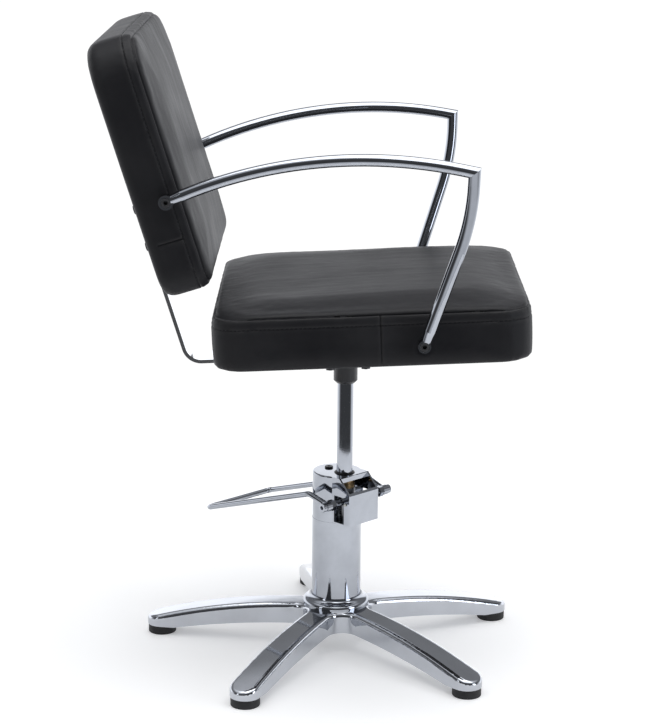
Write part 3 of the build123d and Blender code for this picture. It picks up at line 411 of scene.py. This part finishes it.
studio_world()
scene.view_settings.view_transform = "Standard"
softbox("key_overhead", (-0.3, -0.2, 3.0), (0, 0, 0), 3.0, 3.0, 62)
softbox("front_strip", (-1.9, -2.9, 1.0), (0, 0, 0.7), 1.1, 2.0, 26, (0.86, 0.91, 1.0))
softbox("rear_strip", (-2.0, 2.8, 1.3), (0, 0, 0.6), 0.6, 1.8, 7, (0.95, 0.97, 1.0))

# ---------------------------------------------------------------- cushion frames


def local_frame(node, lean_axis):
    """Frame of a leaning slab: the middle of its lower face, with its width, depth and thickness."""
    out = Vector(lean_axis).normalized()
    along = out.cross(Vector((1, 0, 0)))
    spans = []
    for axis in (Vector((1, 0, 0)), along, out):
        reach = [vertex.co.dot(axis) for vertex in nodes[node].data.vertices]
        spans.append((min(reach), max(reach)))
    middle = [(low + high) / 2 for low, high in spans]
    middle[2] = spans[2][0]
    turn = Matrix((Vector((1, 0, 0)), along, out)).transposed()
    matrix = Matrix.Translation(turn @ Vector(middle)) @ turn.to_4x4()
    return matrix, [high - low for low, high in spans]


SEAT_FRAME, SEAT_SIZE = local_frame("seat_cushion", (0, sin(SEAT_TILT), cos(SEAT_TILT)))
BACK_FRAME, BACK_SIZE = local_frame("back_cushion", (0, -cos(BACK_LEAN), sin(BACK_LEAN)))
PANEL_FRAME, PANEL_SIZE = local_frame("back_panel", (0, -cos(BACK_LEAN), sin(BACK_LEAN)))


def islands(node):
    """Centres of the separate solids in one CAD node."""
    mesh = bmesh.new()
    mesh.from_mesh(nodes[node].data)
    bmesh.ops.remove_doubles(mesh, verts=mesh.verts, dist=1e-6)
    left, centres = set(mesh.verts), []
    while left:
        group, edge = set(), {left.pop()}
        while edge:
            group |= edge
            edge = {e.other_vert(v) for v in edge for e in v.link_edges} - group
        left -= group
        low = Vector([min(v.co[i] for v in group) for i in range(3)])
        high = Vector([max(v.co[i] for v in group) for i in range(3)])
        centres.append((low + high) / 2)
    mesh.free()
    return sorted(centres, key=lambda c: (c.x, c.y, c.z))


ARM_FIXINGS = islands("arm_washers")

# ---------------------------------------------------------------- cushion building


def smooth_step(value, low, high):
    t = min(1.0, max(0.0, (value - low) / (high - low)))
    return t * t * (3 - 2 * t)


def rounded_rectangle(half_x, half_y, corners, pitch):
    """Points and outward directions round a rectangle with (lower, upper) corner radii."""
    lower, upper = corners
    points = []
    for quarter in range(4):
        radius = upper if quarter < 2 else lower
        before = upper if quarter in (1, 2) else lower
        angle = quarter * pi / 2
        run = Vector((cos(angle), sin(angle)))
        side = Vector((-run.y, run.x))
        reach, across = (half_x, half_y) if quarter % 2 == 0 else (half_y, half_x)
        straight = 2 * across - radius - before
        count = max(2, ceil(straight / pitch))
        for step in range(count):
            points.append((run * reach + side * (before - across + straight * step / count), run))
        centre = run * (reach - radius) + side * (across - radius)
        bends = max(3, ceil(radius * pi / 2 / pitch))
        for step in range(bends):
            turn = angle + pi / 2 * step / bends
            heading = Vector((cos(turn), sin(turn)))
            points.append((centre + heading * radius, heading))
    return points


def inside_by(co, size, corners):
    """How far a point lies inside a cover's outline."""
    radius = corners[1] if co.y > 0 else corners[0]
    over_x = abs(co.x) - (size[0] / 2 - radius)
    over_y = abs(co.y) - (size[1] / 2 - radius)
    if over_x > 0 and over_y > 0:
        return radius - hypot(over_x, over_y)
    return radius - max(over_x, over_y)


def slab_mesh(name, size, corners, low_round, high_round, inset, floor_gap):
    """A closed slab with round corners and round edges, drawn in from its full size."""
    half_x, half_y = size[0] / 2 - inset, size[1] / 2 - inset
    low, high = floor_gap, size[2] - inset
    bends = [pi / 2 * step / BEND_STEPS for step in range(BEND_STEPS + 1)]
    profile = [(low_round * (1 - sin(a)), low + low_round * (1 - cos(a))) for a in bends]
    profile += [(high_round * (1 - cos(a)), high - high_round * (1 - sin(a))) for a in bends]
    mesh = bpy.data.meshes.new(name)
    shape = bmesh.new()
    rings = []
    for pull, height in profile:
        outline = rounded_rectangle(half_x, half_y, corners, OUTLINE_PITCH)
        ring = [shape.verts.new((*(point - way * pull), height)) for point, way in outline]
        rings.append(ring)
    for lower, upper in zip(rings, rings[1:]):
        for k in range(len(lower)):
            n = (k + 1) % len(lower)
            shape.faces.new((lower[k], lower[n], upper[n], upper[k]))
    shape.faces.new(list(reversed(rings[0])))
    shape.faces.new(rings[-1])
    shape.to_mesh(mesh)
    shape.free()
    return mesh


def link(name, mesh):
    piece = bpy.data.objects.new(name, mesh)
    scene.collection.objects.link(piece)
    return piece


def bake(piece):
    """Applies a piece's modifiers to its mesh."""
    graph = bpy.context.evaluated_depsgraph_get()
    made = bpy.data.meshes.new_from_object(piece.evaluated_get(graph))
    piece.modifiers.clear()
    piece.data = made


def even_out(piece, voxel):
    """Gives a closed piece an even mesh."""
    remesh = piece.modifiers.new("remesh", "REMESH")
    remesh.mode = "VOXEL"
    remesh.voxel_size = voxel
    bake(piece)


def inflate(piece, crown, pinned, cap):
    """Crowns a closed cover, blows it up with cloth pressure and limits how far each point may go."""
    even_out(piece, VOXEL)
    for vertex in piece.data.vertices:
        vertex.co.z += crown(vertex.co)
    start = [vertex.co.copy() for vertex in piece.data.vertices]
    outward = [vertex.normal.copy() for vertex in piece.data.vertices]
    group = piece.vertex_groups.new(name="pinned")
    group.add([i for i, co in enumerate(start) if pinned(co)], 1.0, "REPLACE")
    cloth = piece.modifiers.new("cloth", "CLOTH")
    cloth.settings.use_pressure = True
    cloth.settings.uniform_pressure_force = PRESSURE
    cloth.settings.effector_weights.gravity = 0
    cloth.settings.vertex_group_mass = "pinned"
    cloth.point_cache.frame_start, cloth.point_cache.frame_end = 1, SIM_FRAMES
    for number in range(1, SIM_FRAMES + 1):
        scene.frame_set(number)
    bake(piece)
    scene.frame_set(1)
    piece.vertex_groups.clear()
    for vertex, co, way in zip(piece.data.vertices, start, outward):
        move = vertex.co - co
        limit = cap(co)
        move += way * max(0.0, limit * 0.4 - move.dot(way))
        if move.length > limit:
            move.length = limit
        vertex.co = co + move
    smoothing = piece.modifiers.new("smooth", "SMOOTH")
    smoothing.factor, smoothing.iterations = 0.5, 2
    finer = piece.modifiers.new("finer", "SUBSURF")
    finer.levels = finer.render_levels = 1
    bake(piece)


def seam(piece, origin, normal, depth, runs, roll=0.0005):
    """Presses a sewn line into a cover where it crosses a plane, with a soft roll on either side."""
    width = SEAM_WIDTH
    shape = bmesh.new()
    shape.from_mesh(piece.data)
    for offset in (-width, 0.0, width):
        faces = [f for f in shape.faces if runs(f.calc_center_median())]
        edges = {e for f in faces for e in f.edges}
        points = {v for f in faces for v in f.verts}
        cut_at = origin + normal * offset
        parts = [*faces, *edges, *points]
        bmesh.ops.bisect_plane(shape, geom=parts, dist=1e-6, plane_co=cut_at, plane_no=normal)
    shape.normal_update()
    moves = []
    for vertex in shape.verts:
        away = abs((vertex.co - origin).dot(normal))
        if away < SEAM_REACH * 2 and runs(vertex.co):
            groove = -depth * max(0.0, 1 - away / width) if away < width else 0.0
            shoulder = roll * exp(-(((away - 2.2 * width) / (1.6 * width)) ** 2))
            pucker = 0.00045 * exp(-away / SEAM_REACH) * noise.noise(vertex.co * 75)
            moves.append((vertex, vertex.normal * (groove + shoulder + pucker)))
    for vertex, move in moves:
        vertex.co += move
    shape.to_mesh(piece.data)
    shape.free()


def level_seam(piece, height, depth, roll):
    """Sews a line round a cover at one height."""
    seam(piece, UP * height, UP, depth, lambda co: abs(co.z - height) < SEAM_BAND, roll)


def stitches(name, path, pitch=0.0052, length=0.0036, radius=0.00045):
    """A row of short thread stitches on the seat, along a list of (point, outward normal)."""
    shape = bmesh.new()
    gathered = 0.0
    for (here, out), (there, _) in zip(path, path[1:]):
        gathered += (there - here).length
        if gathered < pitch:
            continue
        gathered = 0.0
        run = (there - here).normalized()
        side = out.cross(run).normalized()
        turn = Matrix((run, side, out.normalized())).transposed().to_4x4()
        middle = Matrix.Translation(here + out * radius * 0.4)
        squeeze = Matrix.Diagonal((length / 2, radius, radius, 1))
        bmesh.ops.create_icosphere(shape, subdivisions=1, radius=1.0, matrix=middle @ turn @ squeeze)
    mesh = bpy.data.meshes.new(name)
    shape.to_mesh(mesh)
    shape.free()
    piece = link(name, mesh)
    dress(piece, THREAD)
    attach(piece, "seat")


def dress(piece, skin):
    """Gives a piece its material and smooth shading."""
    piece.data.materials.clear()
    piece.data.materials.append(skin)
    piece.data.polygons.foreach_set("use_smooth", [True] * len(piece.data.polygons))


def upholster(piece, matrix, node):
    """Puts a finished cover in place of a plain CAD solid of the seat."""
    piece.data.transform(matrix)
    dress(piece, SKIN)
    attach(piece, "seat")
    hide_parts(node)


def surface_line(piece, matrix, size, corners, height, spread=0.03):
    """Points on a cover's side band at one height, with their outward normals, in the row frame."""
    tree = BVHTree.FromPolygons(
        [v.co for v in piece.data.vertices], [p.vertices[:] for p in piece.data.polygons]
    )
    line = []
    wider = [corner + spread for corner in corners]
    outline = rounded_rectangle(size[0] / 2 + spread, size[1] / 2 + spread, wider, 0.0013)
    for point, way in outline:
        start = Vector((*point, height))
        hit, normal, _, _ = tree.ray_cast(matrix @ start, matrix.to_3x3() @ Vector((*-way, 0)))
        if hit is not None:
            line.append((hit, normal))
    return line


WASHER_RADIUS = 0.009
PRESS_REACH = 0.034


def press(piece, matrix, centres, half_width):
    """Draws the side band in under each armrest washer."""
    inverse = matrix.inverted()
    spots = [inverse @ centre for centre in centres]
    for vertex in piece.data.vertices:
        for spot in spots:
            away = hypot(vertex.co.y - spot.y, vertex.co.z - spot.z)
            on_band = vertex.co.x * spot.x > 0 and abs(vertex.co.x) > half_width * 0.9
            if away < PRESS_REACH and on_band:
                allowed = half_width + 0.0002 + 0.006 * smooth_step(away, WASHER_RADIUS, PRESS_REACH)
                vertex.co.x = max(-allowed, min(allowed, vertex.co.x))


def is_underside(co, size, rim=0.014):
    """True on the flat lower face of a cover, which is stapled to its board."""
    return co.z < 0.003 and abs(co.x) < size[0] / 2 - rim and abs(co.y) < size[1] / 2 - rim


# ---------------------------------------------------------------- seat cushion

SEAT_CORNERS = (0.044, 0.042)
SEAT_CROWN_CORNERS = (0.115, 0.115)
SEAT_INSET = 0.002
SEAT_EDGE = SEAT_SIZE[2] - 0.0145
SEAT_STITCH = SEAT_EDGE - 0.0145
SEAT_JOIN_Y = -0.012
SEAT_TOP_START = SEAT_EDGE + 0.004
SEAT_BODY = (*SEAT_SIZE[:2], SEAT_TOP_START + SEAT_INSET)
SEAT_CROWN = 0.0112
SEAT_RIM_DROP = 0.0026
SEAT_SLACK = 0.0022
SEAT_FULLEST_Y = -0.075


def seat_crown(co):
    """Rise of the seat's top from its seam, fullest towards the front, and its rolled lower rim."""
    if co.z < 0.010:
        return -SEAT_RIM_DROP * (1 - smooth_step(inside_by(co, SEAT_SIZE, SEAT_CORNERS), 0.012, 0.030))
    near_top = smooth_step(co.z, SEAT_TOP_START - 0.006, SEAT_TOP_START)
    away = inside_by(co, SEAT_SIZE, SEAT_CROWN_CORNERS)
    fullness = 0.86 + 0.16 * cos(pi * min(1.0, abs(co.y - SEAT_FULLEST_Y) / 0.20))
    return near_top * (SEAT_CROWN * fullness * smooth_step(away, -0.02, 0.085) + min(0.0, away) * 0.16)


def seat_cap(co):
    """How far the seat cover may swell: free on top, stapled below, tight at the seams."""
    if is_underside(co, SEAT_SIZE):
        return STUCK
    edge = exp(-(((co.z - SEAT_EDGE) / EDGE_BLEND) ** 2))
    if co.z > SEAT_EDGE:
        return 0.0010 + 0.0020 * smooth_step(inside_by(co, SEAT_SIZE, SEAT_CORNERS), 0.012, 0.09)
    return 0.0022 + 0.0030 * (1 - edge) * sin(pi * min(1.0, co.z / SEAT_EDGE))


seat_mesh = slab_mesh("seat_cushion_cover", SEAT_BODY, SEAT_CORNERS, 0.006, 0.010, SEAT_INSET, 0.0006)
seat_cover = link("seat_cushion_cover", seat_mesh)
inflate(seat_cover, seat_crown, lambda co: is_underside(co, SEAT_SIZE), seat_cap)
for vertex in seat_cover.data.vertices:
    near_top = smooth_step(vertex.co.z, SEAT_EDGE - 0.012, SEAT_EDGE + 0.004)
    slack = noise.noise(Vector((vertex.co.x * 5.0, vertex.co.y * 7.0, 3.7)))
    vertex.co.z += SEAT_SLACK * near_top * slack
level_seam(seat_cover, SEAT_EDGE, 0.0022, 0.0008)
level_seam(seat_cover, SEAT_STITCH, 0.0011, 0.0003)
seam(
    seat_cover,
    LONG * SEAT_JOIN_Y,
    LONG,
    JOIN_DEPTH,
    lambda co: abs(co.x) > SEAT_SIZE[0] / 2 - 0.012 and 0.006 < co.z < SEAT_EDGE - 0.001,
)
press(seat_cover, SEAT_FRAME, [c for c in ARM_FIXINGS if c.y < 0], SEAT_SIZE[0] / 2)
upholster(seat_cover, SEAT_FRAME, "seat_cushion")
seat_line = surface_line(seat_cover, SEAT_FRAME, SEAT_SIZE, SEAT_CORNERS, SEAT_STITCH)
stitches("seat_stitches", seat_line)

# ---------------------------------------------------------------- back cushion

BACK_CORNERS = (0.034, 0.060)
BACK_TOP_DROP = 0.001
BACK_INSET = 0.0025
BACK_EDGE = BACK_SIZE[2] - 0.008
BACK_STITCH = BACK_EDGE - 0.0135
BACK_JOIN_Y = -0.105
BACK_FRONT_START = BACK_EDGE + 0.004
BACK_BODY = (BACK_SIZE[0], BACK_SIZE[1] - BACK_TOP_DROP, BACK_FRONT_START + BACK_INSET)
BACK_BELLY = 0.0065
BACK_RIM = 0.034


def back_crown(co):
    """Belly of the back's front face."""
    near_front = smooth_step(co.z, BACK_FRONT_START - 0.006, BACK_FRONT_START)
    away = inside_by(co, BACK_SIZE, BACK_CORNERS)
    return near_front * BACK_BELLY * smooth_step(away, -0.01, 0.09)


def back_cap(co):
    """How far the back cover may swell: soft in front, stapled behind, tight at the seams."""
    if is_underside(co, BACK_SIZE):
        return STUCK
    edge = exp(-(((co.z - BACK_EDGE) / EDGE_BLEND) ** 2))
    if co.z > BACK_EDGE:
        return 0.0010 + 0.0020 * smooth_step(inside_by(co, BACK_SIZE, BACK_CORNERS), 0.012, 0.09)
    return 0.0020 + 0.0028 * (1 - edge) * sin(pi * min(1.0, co.z / BACK_EDGE))


back_mesh = slab_mesh("back_cushion_cover", BACK_BODY, BACK_CORNERS, 0.018, 0.016, BACK_INSET, 0.0012)
back_mesh.transform(Matrix.Translation((0, -BACK_TOP_DROP / 2, 0)))
back_cover = link("back_cushion_cover", back_mesh)
inflate(back_cover, back_crown, lambda co: is_underside(co, BACK_SIZE, BACK_RIM), back_cap)
level_seam(back_cover, BACK_EDGE, 0.0020, 0.0007)
level_seam(back_cover, BACK_STITCH, 0.0011, 0.0003)
seam(
    back_cover,
    LONG * BACK_JOIN_Y,
    LONG,
    JOIN_DEPTH,
    lambda co: abs(co.x) > BACK_SIZE[0] / 2 - 0.012 and 0.020 < co.z < BACK_STITCH,
)
press(back_cover, BACK_FRAME, [c for c in ARM_FIXINGS if c.y > 0], BACK_SIZE[0] / 2)
upholster(back_cover, BACK_FRAME, "back_cushion")
back_line = surface_line(back_cover, BACK_FRAME, BACK_SIZE, BACK_CORNERS, BACK_STITCH)
stitches("back_stitches", back_line)

# ---------------------------------------------------------------- rear panel of the back

PANEL_CROWN = 0.0015
PANEL_CORNERS = (0.010, 0.037)
panel_mesh = slab_mesh("rear_panel_cover", PANEL_SIZE, PANEL_CORNERS, 0.0018, 0.0008, 0.0, 0.0)
rear_panel = link("rear_panel_cover", panel_mesh)
even_out(rear_panel, REMESH_PANEL)
for vertex in rear_panel.data.vertices:
    away = min(PANEL_SIZE[0] / 2 - abs(vertex.co.x), PANEL_SIZE[1] / 2 - abs(vertex.co.y))
    if vertex.co.z < PANEL_SIZE[2] / 2:
        vertex.co.z -= PANEL_CROWN * smooth_step(away, 0.002, 0.03)
        vertex.co.z += 0.0003 * noise.noise(vertex.co * 30)
upholster(rear_panel, PANEL_FRAME, "back_panel")
